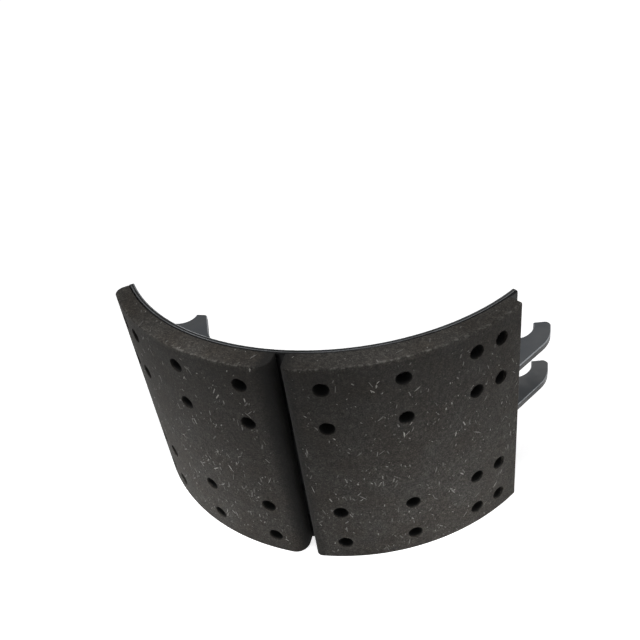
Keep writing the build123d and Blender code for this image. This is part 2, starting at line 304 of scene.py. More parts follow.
# %% Ground friction lining
def ground_lining():
    """Moulded friction material, ground: dull and gritty, with no glossy highlight, and with painted shade
    and painted highlights in its colour.
    """
    material, tree = new_material("ground_friction_lining")
    place = add(tree, "ShaderNodeTexCoord").outputs["Object"]
    patch, mottle, grit = lining_noises(tree, place)
    radius = radius_from(tree, place, DRUM_CENTRE)
    # Painted highlight: a pale line along the edges between the friction face and the side faces
    edge_highlit = add(tree, "ShaderNodeMix", {
        "Factor": pale_edge_highlight(tree, place, radius, mottle),
        6: lining_tint(tree, place, patch, mottle, grit), 7: colour("#6c6a66")}, data_type="RGBA")
    # Near black over the overspray and over the painted shade in the bores
    shade = add(tree, "ShaderNodeMath", {
        0: overspray(tree, place, patch), 1: painted_bore_shade(tree, place, radius)}, operation="MAXIMUM")
    painted = add(tree, "ShaderNodeMix", {
        "Factor": shade, 6: edge_highlit, 7: colour("#0c0c0c")}, data_type="RGBA")
    bump = add(tree, "ShaderNodeBump", {"Height": grit, "Strength": 0.6, "Distance": 0.3 * MM})
    shader = add(tree, "ShaderNodeBsdfPrincipled", {
        "Base Color": painted, "Roughness": 0.9, "Normal": bump, "Specular IOR Level": 0.25})
    add(tree, "ShaderNodeOutputMaterial", {"Surface": shader})
    return material


lining = ground_lining()
print("made", lining.name)

# %% [markdown]
# ## Black enamel
# The steel is dipped in black enamel. It is glossy, and shows the slight waviness of rolled
# plate and of wet paint, so the highlights are broken, and hand marks dull it in patches.
# Fine grey lines are painted highlights along edges: along the two corners of the table's rims and along
# the corners of the webs, whose cut side faces are painted dark as shade. The lines could be modelled as
# thin strips, but they have no thickness, so they are tints. One function makes the enamel, and is given a
# second one that paints light and shade on the edges of that piece.

# %% Painted highlights and shade along the edges
RIM_DEPTH = 0.9 * MM
RIM_HIGHLIGHTS = ((TABLE_INNER, TABLE_INNER + 1.1 * MM, 1.0),     # from, to and strength
             (TABLE_OUTER - 2.3 * MM, TABLE_OUTER - 1.5 * MM, 0.6))
SIDE_SHADE_BAND = (WEB_INSIDE + 0.1 * MM, WEB_OUTSIDE - 0.1 * MM)
OUTER_CORNER = (WEB_OUTSIDE - 1.0 * MM, WEB_OUTSIDE - 0.05 * MM)
INNER_CORNER = (WEB_INSIDE + 0.05 * MM, WEB_INSIDE + 0.7 * MM)


def rim_highlight_lines(tree, place, patchy, tint):
    """Two thin painted highlights along each side rim of the table."""
    radius = radius_from(tree, place, TABLE_CENTRE)
    lines = 0.0
    for low, high, strength in RIM_HIGHLIGHTS:
        lines = add(tree, "ShaderNodeMath", {0: band(tree, radius, low, high), 1: strength, 2: lines},
                    operation="MULTIPLY_ADD")
    rim = band(tree, height_from_middle(tree, place), HALF_WIDTH - RIM_DEPTH, HALF_WIDTH + RIM_DEPTH)
    # Painted highlights: thin grey lines on the corners of the rim
    return add(tree, "ShaderNodeMix", {
        "Factor": all_of(tree, lines, rim, patchy), 6: tint, 7: colour("#94979a")}, data_type="RGBA")


def web_side_shade_and_highlights(tree, place, patchy, tint):
    """Painted shade on the webs' cut side faces, and painted highlights along their corners."""
    height = height_from_middle(tree, place)
    # Painted shade: the webs' side faces are drawn darker than their flat faces
    shaded_sides = add(tree, "ShaderNodeMix", {
        "Factor": band(tree, height, *SIDE_SHADE_BAND), 6: tint, 7: colour("#090a0c")}, data_type="RGBA")
    # Painted highlights along the webs' corners
    corner = add(tree, "ShaderNodeMath", {
        0: band(tree, height, *OUTER_CORNER), 1: band(tree, height, *INNER_CORNER)},
        operation="MAXIMUM")
    return add(tree, "ShaderNodeMix", {
        "Factor": all_of(tree, corner, patchy), 6: shaded_sides, 7: colour("#a6aaae")}, data_type="RGBA")


print("the webs' cut edges run from", [round(value / MM, 1) for value in SIDE_SHADE_BAND], "mm")

# %% Black enamel over rolled steel
ORANGE_PEEL_MM = 2.2
PLATE_WAVE_MM = 40.0
HAND_MARKS = 0.22            # how much rougher the handled patches are


def black_enamel(name, dark, light, roughness, specular, painted_edge_light=None):
    """Dipped enamel: near black, glossy, with fine orange peel over slow waves in the plate."""
    material, tree = new_material(name)
    place = add(tree, "ShaderNodeTexCoord").outputs["Object"]
    wave = add(tree, "ShaderNodeTexNoise", {
        "Vector": place, "Scale": per_metre(PLATE_WAVE_MM), "Detail": 3.0, "Roughness": 0.6})
    peel = add(tree, "ShaderNodeTexNoise", {
        "Vector": place, "Scale": per_metre(ORANGE_PEEL_MM), "Detail": 2.0})
    tint = add(tree, "ShaderNodeValToRGB", {"Fac": wave}, stops=[(0.35, dark), (0.65, light)])
    if painted_edge_light:
        patchy = add(tree, "ShaderNodeMapRange", {
            "Value": wave, "From Min": 0.35, "From Max": 0.5, "To Min": 0.5, "To Max": 1.0})
        tint = painted_edge_light(tree, place, patchy, tint)
    slow = add(tree, "ShaderNodeBump", {"Height": wave, "Strength": 0.4, "Distance": 1.5 * MM})
    fine = add(tree, "ShaderNodeBump", {
        "Height": peel, "Strength": 0.12, "Distance": 0.08 * MM, "Normal": slow})
    dull = add(tree, "ShaderNodeMapRange", {
        "Value": wave, "From Min": 0.38, "From Max": 0.62, "To Min": roughness,
        "To Max": roughness + HAND_MARKS})
    shader = add(tree, "ShaderNodeBsdfPrincipled", {
        "Base Color": tint, "Roughness": dull, "Specular IOR Level": specular, "Normal": fine})
    add(tree, "ShaderNodeOutputMaterial", {"Surface": shader})
    return material


table_paint = black_enamel("black_enamel_on_rolled_plate", "#070809", "#101113", 0.18, 0.1, rim_highlight_lines)
# The webs' enamel is a bluish black, drawn lighter than the table's: partly painted sheen
web_paint = black_enamel("black_enamel_on_web", "#1a1e22", "#272c32", 0.32, 0.42, web_side_shade_and_highlights)
weld_paint = black_enamel("black_enamel_on_weld", "#0b0c0e", "#15171a", 0.28, 0.4)
print("made", table_paint.name, web_paint.name, weld_paint.name)

# %% [markdown]
# ## Rivet steel
# The rivets are plated mild steel. The crest of each crimped ring inside the table is bright metal, and
# the rest of each rivet is near black: painted shade for the hollow ends and for the heads, which lie deep
# in the lining. Two materials would need a seam on the rivet. One material that changes with the distance
# from the table's axis puts the bright ring on the crest.

# %% Plated rivet steel
RING_CREST = TABLE_INNER - 1.55 * MM
RING_FADE = 0.4 * MM
SCUFF_MM = 1.5


def rivet_steel():
    """Plated mild steel, bright on the crests of the crimped rings and near black elsewhere, as painted
    shade.
    """
    material, tree = new_material("plated_rivet_steel")
    place = add(tree, "ShaderNodeTexCoord").outputs["Object"]
    scuff = add(tree, "ShaderNodeTexNoise", {"Vector": place, "Scale": per_metre(SCUFF_MM), "Detail": 3.0})
    metal = add(tree, "ShaderNodeValToRGB", {"Fac": scuff}, stops=[(0.35, "#7d7b77"), (0.65, "#c2bfb9")])
    rubbed = add(tree, "ShaderNodeMapRange", {
        "Value": radius_from(tree, place, TABLE_CENTRE), "From Min": RING_CREST,
        "From Max": RING_CREST + RING_FADE, "To Min": 1.0, "To Max": 0.0})
    # Near black away from the crest: painted shade for the hollow end and for the head in its counterbore
    tint = add(tree, "ShaderNodeMix", {"Factor": rubbed, 6: colour("#0a0a0b"), 7: metal},
               data_type="RGBA")
    shader = add(tree, "ShaderNodeBsdfPrincipled", {
        "Base Color": tint, "Metallic": rubbed, "Roughness": 0.4})
    add(tree, "ShaderNodeOutputMaterial", {"Surface": shader})
    return material


steel = rivet_steel()
print("made", steel.name)

# %% [markdown]
# ## Dress the solids
# The table, the webs and the lining blocks already have their true shape as solids, so they
# stay as they are and only get their finish.

# %% Dress the solids
DRESS = {"shoe_table": table_paint, "upper_web": web_paint, "lower_web": web_paint,
         "anchor_end_lining": lining, "cam_end_lining": lining}
for name, material in DRESS.items():
    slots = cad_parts[name].data.materials
    slots.clear()
    slots.append(material)
print("dressed", len(DRESS), "solids")

# %% [markdown]
# ## Geometry trees
# What repeats or follows a path is grown by a geometry tree: the rule is written once, and its
# sizes are inputs with names. One helper makes the tree with those inputs. The other runs it,
# keeps the result as a plain mesh and removes the modifier, so the finished piece needs no tree.

# %% Helpers for geometry trees
def new_tree(name, floats, integers):
    """A geometry tree with inputs for its sizes and its material."""
    tree = bpy.data.node_groups.new(name, "GeometryNodeTree")
    tree.interface.new_socket("Geometry", in_out="OUTPUT", socket_type="NodeSocketGeometry")
    labels = {"Geometry": ["Geometry"], "Float": floats, "Int": integers, "Material": ["Material"]}
    for kind, names in labels.items():
        for label in names:
            tree.interface.new_socket(label, in_out="INPUT", socket_type="NodeSocket" + kind)
    return tree, tree.nodes.new("NodeGroupInput").outputs


def end_tree(tree, geometry, material):
    """Make instances real, set the material and connect the output."""
    real = add(tree, "GeometryNodeRealizeInstances", {"Geometry": geometry})
    dressed = add(tree, "GeometryNodeSetMaterial", {"Geometry": real, "Material": material})
    add(tree, "NodeGroupOutput", {"Geometry": dressed})


def grow(name, tree, sizes, base=None):
    """Run a geometry tree and keep its result as a plain mesh."""
    piece = bpy.data.objects.new(name, base or bpy.data.meshes.new(name))
    bpy.context.scene.collection.objects.link(piece)
    modifier = piece.modifiers.new(name, "NODES")
    modifier.node_group = tree
    for item in tree.interface.items_tree:
        if item.in_out == "INPUT" and item.name in sizes:
            modifier[item.identifier] = sizes[item.name]
    bpy.context.view_layer.update()
    grown = bpy.data.meshes.new_from_object(piece.evaluated_get(bpy.context.evaluated_depsgraph_get()))
    piece.modifiers.remove(modifier)
    piece.data = grown
    print("grew", name, "with", len(grown.polygons), "faces")
    return piece


def spun(tree, instances, low, high, seed):
    """Turn each instance about its own axis by a random angle."""
    angle = add(tree, "FunctionNodeRandomValue", {2: low, 3: high, "Seed": seed}, data_type="FLOAT")
    turn = add(tree, "ShaderNodeCombineXYZ", {2: angle})
    return add(tree, "GeometryNodeRotateInstances", {"Instances": instances, "Rotation": turn})


print("tree helpers ready")

# %% [markdown]
# ## Flecks in the lining
# Ground lining shows cut ends of fibre and metal chips as pale slivers a few millimetres long,
# lying mostly across the rub. They could be dots in the material, but then they would have no
# edges close up. A tree scatters them over the block's outer faces instead, in three shapes and
# many sizes, half sunk in the surface, so each reads as part of it. They gather in clusters
# and are scarce near the top. They need a surface to land on: a copy of the block without its
# bores, its back and its rounded corners.

# %% Outer faces of a lining block
RIVET_ANGLES = (8.3, 24.4, 40.5, 47.2)
RIVET_ROWS = (89.6 * MM, 49.7 * MM, -49.7 * MM, -89.6 * MM)
COUNTERBORE = 6.6 * MM
CLOSE = 0.05 * MM
SQUARE_ENOUGH = 0.985        # cosine of the largest lean of a flat face


def on_back(face):
    """The whole face lies against the table."""
    return all((corner.co - TABLE_CENTRE).xy.length < TABLE_OUTER + CLOSE for corner in face.verts)


def in_bore(face, bores):
    """The whole face lies within one rivet's counterbore."""
    for out, row in bores:
        points = [corner.co - TABLE_CENTRE - Vector((0, 0, row)) for corner in face.verts]
        if all((point - point.dot(out) * out).length < COUNTERBORE + CLOSE for point in points):
            return True
    return False


def rounded(face):
    """The face leans away from all three directions of the block's flat faces."""
    out = face.calc_center_median() - DRUM_CENTRE
    out = Vector((out.x, out.y, 0)).normalized()
    along = Vector((-out.y, out.x, 0))
    return max(abs(face.normal.dot(axis)) for axis in (out, along, Vector((0, 0, 1)))) < SQUARE_ENOUGH


def outer_faces(node, side):
    """Merged copy of a lining block without its bores, its back and its rounded corners."""
    shell = bmesh.new()
    shell.from_mesh(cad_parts[node].data)
    bmesh.ops.remove_doubles(shell, verts=shell.verts, dist=0.001 * MM)
    bores = [(around(1.0, side * angle) - TABLE_CENTRE, row) for angle in RIVET_ANGLES
             for row in RIVET_ROWS]
    hidden = [face for face in shell.faces if on_back(face) or in_bore(face, bores) or rounded(face)]
    bmesh.ops.delete(shell, geom=hidden, context="FACES")
    mesh = bpy.data.meshes.new(node + "_outer_faces")
    shell.to_mesh(mesh)
    shell.free()
    print(node, "keeps", len(mesh.polygons), "outer faces")
    return mesh


SIDES = {"anchor_end_lining": -1, "cam_end_lining": 1}
shells = {node: outer_faces(node, side) for node, side in SIDES.items()}

# %% Fleck material
def pale_fleck():
    """Cut fibre and chips: grey to off-white, each its own tone."""
    material, tree = new_material("pale_mineral_fleck")
    tone = add(tree, "ShaderNodeAttribute", attribute_name="tone")
    tint = add(tree, "ShaderNodeValToRGB", {"Fac": tone},
               stops=[(0.0, "#484642"), (0.6, "#605e5a"), (0.85, "#7a7773"), (1.0, "#a19e98")])
    shader = add(tree, "ShaderNodeBsdfPrincipled", {"Base Color": tint, "Roughness": 0.7})
    add(tree, "ShaderNodeOutputMaterial", {"Surface": shader})
    return material


fleck = pale_fleck()
print("made", fleck.name)

# %% [markdown]
# ## Where flecks lie and how large they are
# Each scattered point draws a random number and stays if it is below a chance. The chance comes
# from a noise as large as a cluster and from the height. A point's distance from the nearest
# sharp or open edge limits its fleck's length, so none sticks out past an edge.

# %% Which points stay
FLECK_CLUSTER_MM = 16.0
CLUSTER_LIMITS = (0.38, 0.7)                 # noise where flecks begin and are densest
TOP_CHANCE = 0.2
SIDE_FACE_CHANCE = 0.5
SIDE_FACE_FROM = HALF_WIDTH - 0.1 * MM
BARE_BESIDE_GAP = SPRAY_INNER + 5 * MM
SHARP_BEND = 0.35            # radians between two faces, past which their edge is sharp


def fleck_chance(tree, size, place):
    """Chance of a fleck: high in a cluster, low near the top, except on the top side face."""
    cluster = add(tree, "ShaderNodeTexNoise", {
        "Vector": place, "Scale": per_metre(FLECK_CLUSTER_MM), "Detail": 1.0})
    wanted = add(tree, "ShaderNodeMapRange", {
        "Value": cluster, "From Min": CLUSTER_LIMITS[0], "From Max": CLUSTER_LIMITS[1]})
    height = from_middle(tree, place)["Z"]
    fade = add(tree, "ShaderNodeMapRange", {
        "Value": height, "From Min": size["Top Fade"], "From Max": HALF_WIDTH, "To Min": 1.0,
        "To Max": TOP_CHANCE})
    side = add(tree, "ShaderNodeMath", {0: height, 1: SIDE_FACE_FROM}, operation="GREATER_THAN")
    side = add(tree, "ShaderNodeMath", {0: side, 1: SIDE_FACE_CHANCE}, operation="MULTIPLY")
    fade = add(tree, "ShaderNodeMath", {0: fade, 1: side}, operation="MAXIMUM")
    return all_of(tree, wanted, fade)


def distance_from_edges(tree, surface):
    """Distance of each point from the nearest sharp or open edge of the surface."""
    edge_faces = add(tree, "GeometryNodeInputMeshEdgeNeighbors")
    closed = add(tree, "FunctionNodeCompare", {2: edge_faces, 3: 1}, data_type="INT",
                 operation="NOT_EQUAL")
    bend = add(tree, "GeometryNodeInputMeshEdgeAngle")
    shallow = add(tree, "FunctionNodeCompare", {0: bend.outputs["Unsigned Angle"], 1: SHARP_BEND},
                  operation="LESS_THAN")
    plain = add(tree, "FunctionNodeBooleanMath", {0: closed, 1: shallow}, operation="AND")
    rims = add(tree, "GeometryNodeDeleteGeometry", {"Geometry": surface, "Selection": plain},
               domain="EDGE")
    near = add(tree, "GeometryNodeProximity", {0: rims}, target_element="EDGES")
    return near.outputs["Distance"]


def points_that_stay(tree, size, points, room):
    """Drop points by chance, beside the gap and where even the shortest fleck has no room."""
    place = add(tree, "GeometryNodeInputPosition")
    drawn = add(tree, "FunctionNodeRandomValue", {"Seed": 1}, data_type="FLOAT")
    drop = add(tree, "FunctionNodeCompare", {0: drawn, 1: fleck_chance(tree, size, place)},
               operation="GREATER_THAN")
    half = add(tree, "ShaderNodeMath", {0: size["Shortest"], 1: 0.5}, operation="MULTIPLY")
    too_near = add(tree, "FunctionNodeCompare", {0: room, 1: half}, operation="LESS_THAN")
    sprayed = band(tree, from_middle(tree, place)["X"], -BARE_BESIDE_GAP, 0.0)
    for reason in (too_near, sprayed):
        drop = add(tree, "FunctionNodeBooleanMath", {0: drop, 1: reason}, operation="OR")
    return add(tree, "GeometryNodeDeleteGeometry", {"Geometry": points, "Selection": drop},
               domain="POINT")


print("clusters are about", FLECK_CLUSTER_MM, "mm across")

# %% Three shapes, many sizes
MOSTLY_SHORT = 2.6           # a higher power gives fewer long flecks
TIP = 0.3                    # width of a sliver's tips, as part of its middle's
ACROSS_THE_RUB = (math.radians(35), math.radians(145))
ROOM_USED = 1.8              # of the distance to the nearest edge, by a fleck's length


def sliver(tree, bend):
    """A tapered sliver one unit long, as an instance."""
    spine = add(tree, "GeometryNodeCurveQuadraticBezier", {
        "Resolution": 4, "Start": (-0.5, 0, 0), "Middle": (0, bend, 0), "End": (0.5, 0, 0)})
    along = add(tree, "GeometryNodeSplineParameter")
    swell = add(tree, "ShaderNodeMath", {0: along.outputs["Factor"], 1: math.pi}, operation="MULTIPLY")
    swell = add(tree, "ShaderNodeMath", {0: swell}, operation="SINE")
    swell = add(tree, "ShaderNodeMath", {0: swell, 1: 1 - TIP, 2: TIP}, operation="MULTIPLY_ADD")
    shaped = add(tree, "GeometryNodeSetCurveRadius", {"Curve": spine, "Radius": swell})
    ring = add(tree, "GeometryNodeCurvePrimitiveCircle", {"Resolution": 4, "Radius": 0.5})
    solid = add(tree, "GeometryNodeCurveToMesh", {
        "Curve": shaped, "Profile Curve": ring, "Fill Caps": True})
    return add(tree, "GeometryNodeGeometryToInstance", {"Geometry": solid})


def grain(tree):
    """A blunt grain, as an instance."""
    ball = add(tree, "GeometryNodeMeshIcoSphere", {"Radius": 0.5, "Subdivisions": 1})
    squashed = add(tree, "GeometryNodeTransform", {"Geometry": ball, "Scale": (0.6, 1.1, 1.0)})
    return add(tree, "GeometryNodeGeometryToInstance", {"Geometry": squashed})


def fleck_scale(tree, size, room):
    """Length, width and thickness: mostly short, no longer than there is room for, and slim."""
    drawn = add(tree, "FunctionNodeRandomValue", {"Seed": 3}, data_type="FLOAT")
    short = add(tree, "ShaderNodeMath", {0: drawn, 1: MOSTLY_SHORT}, operation="POWER")
    length = add(tree, "ShaderNodeMapRange", {
        "Value": short, "To Min": size["Shortest"], "To Max": size["Longest"]})
    most = add(tree, "ShaderNodeMath", {0: room, 1: ROOM_USED}, operation="MULTIPLY")
    length = add(tree, "ShaderNodeMath", {0: length, 1: most}, operation="MINIMUM")
    drawn = add(tree, "FunctionNodeRandomValue", {2: 0.6, 3: 1.4, "Seed": 4}, data_type="FLOAT")
    width = add(tree, "ShaderNodeMath", {0: drawn, 1: size["Width"]}, operation="MULTIPLY")
    slim = add(tree, "ShaderNodeMath", {0: length, 1: 0.5}, operation="MULTIPLY")
    width = add(tree, "ShaderNodeMath", {0: width, 1: slim}, operation="MINIMUM")
    return add(tree, "ShaderNodeCombineXYZ", {0: length, 1: width, 2: size["Thickness"]})


print("fleck shapes ready")

# %% Tree that scatters flecks
def fleck_tree():
    """Scatter flecks over a mesh, in clusters, none past a sharp or open edge."""
    tree, size = new_tree("scatter_flecks", [
        "Density", "Shortest", "Longest", "Width", "Thickness", "Top Fade"], ["Seed"])
    scattered = add(tree, "GeometryNodeDistributePointsOnFaces", {
        "Mesh": size["Geometry"], "Density": size["Density"], "Seed": size["Seed"]})
    room = distance_from_edges(tree, size["Geometry"])
    shapes = add(tree, "GeometryNodeJoinGeometry", {
        0: [sliver(tree, 0.0), sliver(tree, 0.5), grain(tree)]})
    which = add(tree, "FunctionNodeRandomValue", {4: 0, 5: 2, "Seed": 2}, data_type="INT")
    placed = add(tree, "GeometryNodeInstanceOnPoints", {
        "Points": points_that_stay(tree, size, scattered.outputs["Points"], room), "Instance": shapes,
        "Pick Instance": True, "Instance Index": which, "Rotation": scattered.outputs["Rotation"],
        "Scale": fleck_scale(tree, size, room)})
    turned = spun(tree, placed, *ACROSS_THE_RUB, 5)
    tone = add(tree, "FunctionNodeRandomValue", {"Seed": 6}, data_type="FLOAT")
    toned = add(tree, "GeometryNodeStoreNamedAttribute", {
        "Geometry": turned, "Name": "tone", "Value": tone}, data_type="FLOAT", domain="INSTANCE")
    end_tree(tree, toned, size["Material"])
    return tree


scatter = fleck_tree()
print("the tree has", len(scatter.nodes), "nodes")

# %% Scatter the flecks on both blocks
for seed, (node, density) in enumerate((("anchor_end_lining", 44000.0), ("cam_end_lining", 36000.0))):
    flecks = grow(node + "_flecks", scatter, {
        "Density": density, "Shortest": 1.2 * MM, "Longest": 6.2 * MM, "Width": 0.9 * MM,
        "Thickness": 0.16 * MM, "Top Fade": 40 * MM, "Seed": 11 + seed, "Material": fleck,
    }, base=shells[node])
    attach(flecks, "root")

# %% [markdown]
# ## Weld beads
# Each web is welded to the table by one long bead outside and five short stitches inside. A
# hand-laid bead is a row of frozen ripples, each a crescent about as long as a match head is
# thick. Modelling each crescent would take hundreds of pieces. Instead the bead is swept along
# its arc, and each point is then pushed out by a wave that runs along the bead and lags at its
# sides. A little noise in the lag makes the ripples uneven, as a hand does.

# %% Paths of the beads
WELD_START = -60.0
WELD_END = 55.6
STITCHES = 5
STITCH_ANGLE = 8.0


def stitch_paths(tree, size):
    """Short arcs at even steps, the first and last flush with the long bead's ends."""
    arc = add(tree, "GeometryNodeCurveArc", {
        "Resolution": 24, "Radius": size["Arc Radius"], "Start Angle": size["Start"],
        "Sweep Angle": size["Stitch Sweep"]})
    inner = add(tree, "ShaderNodeCombineXYZ", {2: size["Inner Height"]})
    spots = add(tree, "GeometryNodePoints", {"Count": size["Stitches"], "Position": inner})
    spare = add(tree, "ShaderNodeMath", {0: size["Sweep"], 1: size["Stitch Sweep"]}, operation="SUBTRACT")
    gaps = add(tree, "ShaderNodeMath", {0: size["Stitches"], 1: 1.0}, operation="SUBTRACT")
    step = add(tree, "ShaderNodeMath", {0: spare, 1: gaps}, operation="DIVIDE")
    number = add(tree, "GeometryNodeInputIndex")
    swing = add(tree, "ShaderNodeMath", {0: number, 1: step}, operation="MULTIPLY")
    turn = add(tree, "ShaderNodeCombineXYZ", {2: swing})
    stitches = add(tree, "GeometryNodeInstanceOnPoints", {
        "Points": spots, "Instance": arc, "Rotation": turn})
    return add(tree, "GeometryNodeRealizeInstances", {"Geometry": stitches})


def bead_paths(tree, size):
    """Arcs of all beads: one side's long bead and stitches, and their mirror image."""
    arc = add(tree, "GeometryNodeCurveArc", {
        "Resolution": 200, "Radius": size["Arc Radius"], "Start Angle": size["Start"],
        "Sweep Angle": size["Sweep"]})
    outer = add(tree, "ShaderNodeCombineXYZ", {2: size["Outer Height"]})
    long_bead = add(tree, "GeometryNodeTransform", {"Geometry": arc, "Translation": outer})
    upper = add(tree, "GeometryNodeJoinGeometry", {0: [long_bead, stitch_paths(tree, size)]})
    lower = add(tree, "GeometryNodeTransform", {"Geometry": upper, "Scale": (1, 1, -1)})
    paths = add(tree, "GeometryNodeJoinGeometry", {0: [upper, lower]})
    return add(tree, "GeometryNodeTransform", {"Geometry": paths, "Translation": TABLE_CENTRE})


print("long beads sweep", round(WELD_END - WELD_START, 1), "degrees")

# %% Sweep and ripples
BEAD_STEP = 0.55 * MM
BEAD_TIP = 0.35              # radius at the ends of a bead, as part of its middle's
CRESCENT = 4.0 * MM          # how far a ripple's sides lag behind its crest
CREST_TILT = 0.7             # height part of the normal on the bead's crest
UNEVEN_MM = 6.0
UNEVEN_LAG = 2.5 * MM


def swept_bead(tree, size, paths):
    """Tubes with tapered ends, whose points remember the distance along their path."""
    fine = add(tree, "GeometryNodeResampleCurve", {"Curve": paths, "Length": BEAD_STEP}, mode="LENGTH")
    along = add(tree, "GeometryNodeSplineParameter")
    whole = add(tree, "GeometryNodeSplineLength")
    left = add(tree, "ShaderNodeMath", {0: whole.outputs["Length"], 1: along.outputs["Length"]},
               operation="SUBTRACT")
    nearest = add(tree, "ShaderNodeMath", {0: left, 1: along.outputs["Length"]}, operation="MINIMUM")
    taper = add(tree, "ShaderNodeMapRange", {
        "Value": nearest, "From Max": size["Bead Radius"], "To Min": BEAD_TIP, "To Max": 1.0},
        interpolation_type="SMOOTHSTEP")
    marked = add(tree, "GeometryNodeStoreNamedAttribute", {
        "Geometry": fine, "Name": "along", "Value": along.outputs["Length"]}, data_type="FLOAT",
        domain="POINT")
    shaped = add(tree, "GeometryNodeSetCurveRadius", {"Curve": marked, "Radius": taper})
    ring = add(tree, "GeometryNodeCurvePrimitiveCircle", {"Resolution": 14, "Radius": size["Bead Radius"]})
    return add(tree, "GeometryNodeCurveToMesh", {
        "Curve": shaped, "Profile Curve": ring, "Fill Caps": True})


def ripple_push(tree, size, normal):
    """How far each point is pushed out, as a row of crescents."""
    mark = add(tree, "GeometryNodeInputNamedAttribute", {"Name": "along"}, data_type="FLOAT")
    upright = add(tree, "ShaderNodeSeparateXYZ", {"Vector": normal})
    tilt = add(tree, "ShaderNodeMath", {0: upright.outputs["Z"]}, operation="ABSOLUTE")
    off_crest = add(tree, "ShaderNodeMath", {0: tilt, 1: CREST_TILT}, operation="SUBTRACT")
    lag = add(tree, "ShaderNodeMath", {0: off_crest, 1: 2.0}, operation="POWER")
    lag = add(tree, "ShaderNodeMath", {0: lag, 1: CRESCENT, 2: mark}, operation="MULTIPLY_ADD")
    uneven = add(tree, "ShaderNodeTexNoise", {"Scale": per_metre(UNEVEN_MM), "Detail": 2.0})
    lag = add(tree, "ShaderNodeMath", {0: uneven, 1: UNEVEN_LAG, 2: lag}, operation="MULTIPLY_ADD")
    turns = add(tree, "ShaderNodeMath", {0: lag, 1: size["Ripple Length"]}, operation="DIVIDE")
    phase = add(tree, "ShaderNodeMath", {0: turns}, operation="FRACT")
    wave = add(tree, "ShaderNodeMath", {0: phase, 1: 0.6}, operation="POWER")
    lift = add(tree, "ShaderNodeMath", {0: wave, 1: size["Ripple Height"]}, operation="MULTIPLY")
    return add(tree, "ShaderNodeVectorMath", {0: normal, "Scale": lift}, operation="SCALE")


print("a ring of points every", round(BEAD_STEP / MM, 2), "mm")

# %% Tree that lays weld beads
def weld_tree():
    """Beads of both webs, swept along arcs about the table's centre."""
    tree, size = new_tree("lay_weld_beads", [
        "Arc Radius", "Outer Height", "Inner Height", "Start", "Sweep", "Stitch Sweep", "Bead Radius",
        "Ripple Length", "Ripple Height"], ["Stitches"])
    bead = swept_bead(tree, size, bead_paths(tree, size))
    normal = add(tree, "GeometryNodeInputNormal")
    rippled = add(tree, "GeometryNodeSetPosition", {
        "Geometry": bead, "Offset": ripple_push(tree, size, normal)})
    smooth = add(tree, "GeometryNodeSetShadeSmooth", {"Geometry": rippled})
    end_tree(tree, smooth, size["Material"])
    return tree


lay = weld_tree()
print("the tree has", len(lay.nodes), "nodes")

# %% Lay the beads
BEAD_INSET = 0.5 * MM
welds = grow("weld_beads", lay, {
    "Arc Radius": TABLE_INNER - BEAD_INSET, "Outer Height": WEB_OUTSIDE + BEAD_INSET,
    "Inner Height": WEB_INSIDE - BEAD_INSET, "Start": math.radians(WELD_START - 90),
    "Sweep": math.radians(WELD_END - WELD_START), "Stitch Sweep": math.radians(STITCH_ANGLE),
    "Stitches": STITCHES, "Bead Radius": 3.0 * MM, "Ripple Length": 2.1 * MM,
    "Ripple Height": 0.4 * MM, "Material": weld_paint})
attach(welds, "root")
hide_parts("upper_web_welds", "lower_web_welds")

# %% [markdown]
# ## Rivets
# The lining is held by semi-tubular rivets. The flat head sits deep in its counterbore, and the
# hollow end is rolled outwards against the inside of the table, where it splits a little as it
# curls. One rivet is turned from its half section, as on a lathe, and a tree sets it at every
# place, spun by a random angle so that no two splits match.

# %% One rivet
RIVET_SECTION_MM = (     # distance from the axis, and depth out from the table's outer face
    (0.0, 7.35), (3.2, 7.42), (5.6, 7.3), (6.1, 7.1), (6.25, 6.7), (6.2, 5.7), (5.95, 5.5),
    (3.95, 5.5), (3.95, -4.9), (4.5, -5.05), (5.1, -5.25), (5.4, -5.8), (5.3, -6.35), (4.8, -6.75),
    (4.1, -6.85), (3.3, -6.6), (2.8, -6.0), (2.6, -5.2), (2.6, 0.0), (1.6, 1.2), (0.0, 1.6))
RIVET_STEPS = 30
SPLITS = 6
SPLIT_DEPTH = 0.09           # part of the ring's radius
RING_FROM = (3.6 * MM, -5.1 * MM)


def turned_rivet():
    """Rivet along +Z, with its origin on the table's outer face and its rolled end split."""
    mesh = bpy.data.meshes.new("turned_rivet")
    solid = bmesh.new()
    points = [solid.verts.new((r * MM, 0, depth * MM)) for r, depth in RIVET_SECTION_MM]
    edges = [solid.edges.new(pair) for pair in zip(points, points[1:])]
    bmesh.ops.spin(solid, geom=points + edges, cent=(0, 0, 0), axis=(0, 0, 1), angle=math.tau,
                   steps=RIVET_STEPS, use_merge=True)
    bmesh.ops.remove_doubles(solid, verts=solid.verts, dist=0.005 * MM)
    for corner in solid.verts:
        if corner.co.xy.length > RING_FROM[0] and corner.co.z < RING_FROM[1]:
            lobe = abs(math.sin(SPLITS / 2 * math.atan2(corner.co.y, corner.co.x)))
            corner.co.xy *= 1 - SPLIT_DEPTH * (1 - lobe) ** 3
    bmesh.ops.recalc_face_normals(solid, faces=solid.faces)
    for face in solid.faces:
        face.smooth = True
    solid.to_mesh(mesh)
    solid.free()
    return mesh


one_rivet = turned_rivet()
print("one rivet has", len(one_rivet.polygons), "faces")

# %% Places of the rivets
def chosen(tree, index, values):
    """The value at an index of a list."""
    choice = add(tree, "GeometryNodeIndexSwitch", data_type="FLOAT")
    while len(choice.index_switch_items) < len(values):
        choice.index_switch_items.new()
    connect(tree, choice, dict(enumerate([index, *values])))
    return choice


